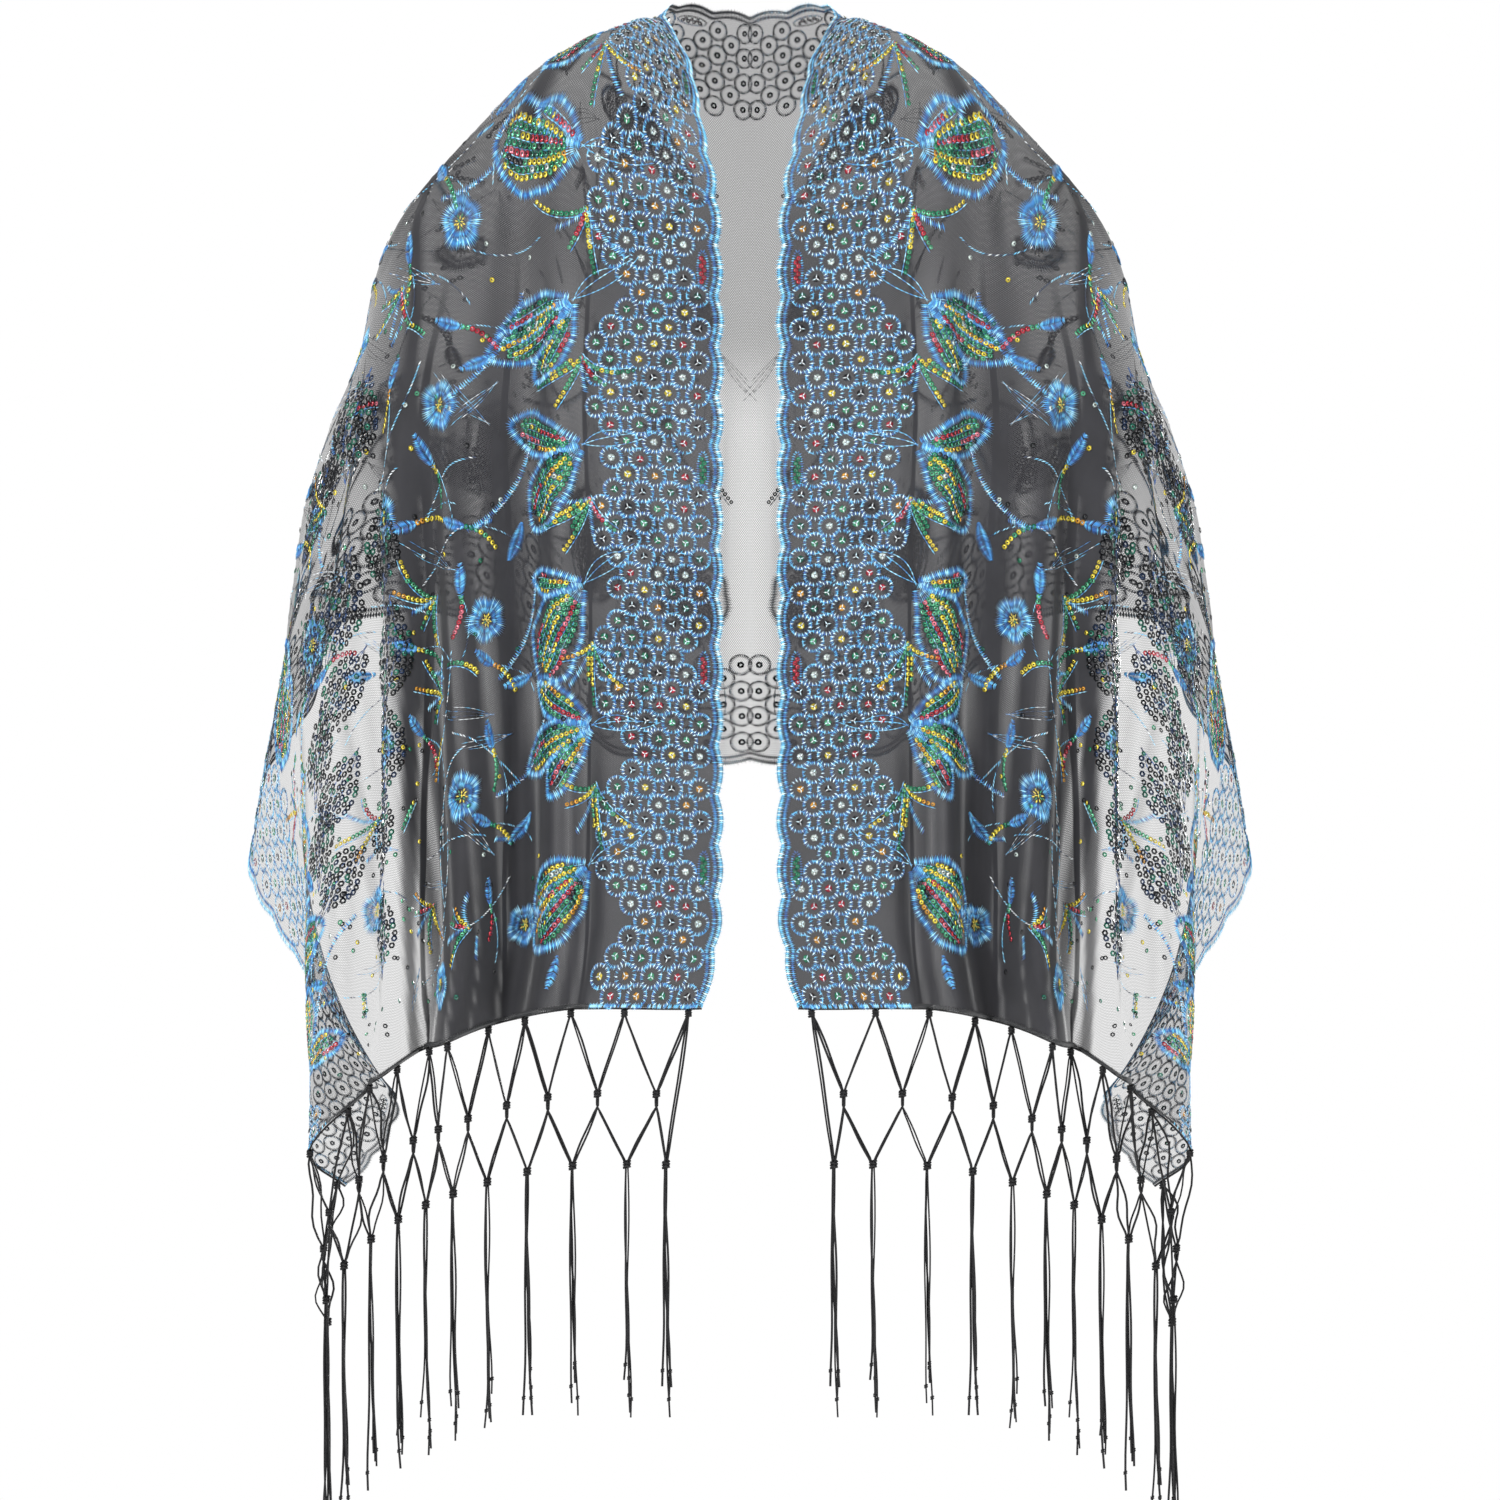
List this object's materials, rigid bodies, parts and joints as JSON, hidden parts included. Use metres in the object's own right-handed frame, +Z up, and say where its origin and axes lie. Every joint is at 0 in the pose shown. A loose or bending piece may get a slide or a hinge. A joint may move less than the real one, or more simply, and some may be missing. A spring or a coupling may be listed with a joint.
{
  "type": "fringed shawl",
  "caption": "Worn oblong net shawl with scalloped ring-lattice borders, embroidered blossoms and sequins, and a knotted fringe on both short hems.",
  "frame": {"origin": "the point between the shoulders, level with the sides of the neck, about which the wearer holds the shawl", "axes": "+Z up, the fronts face -Y, and +X is on the viewer's right as seen from the front"},
  "size_m": [0.7166, 0.2448, 1.1105],
  "materials": {
    "net": "fine black net, sheer",
    "border": "net covered with blue thread rings and sequins",
    "cord": "smooth black cord"
  },
  "bodies": {
    "root": {"net_left": "net", "net_back": "net", "net_right": "net", "border_inner_left": "border", "border_inner_back": "border", "border_inner_right": "border", "border_outer_left": "border", "border_outer_back": "border", "border_outer_right": "border", "fringe_left": "cord", "fringe_right": "cord"}
  },
  "joints": []
}
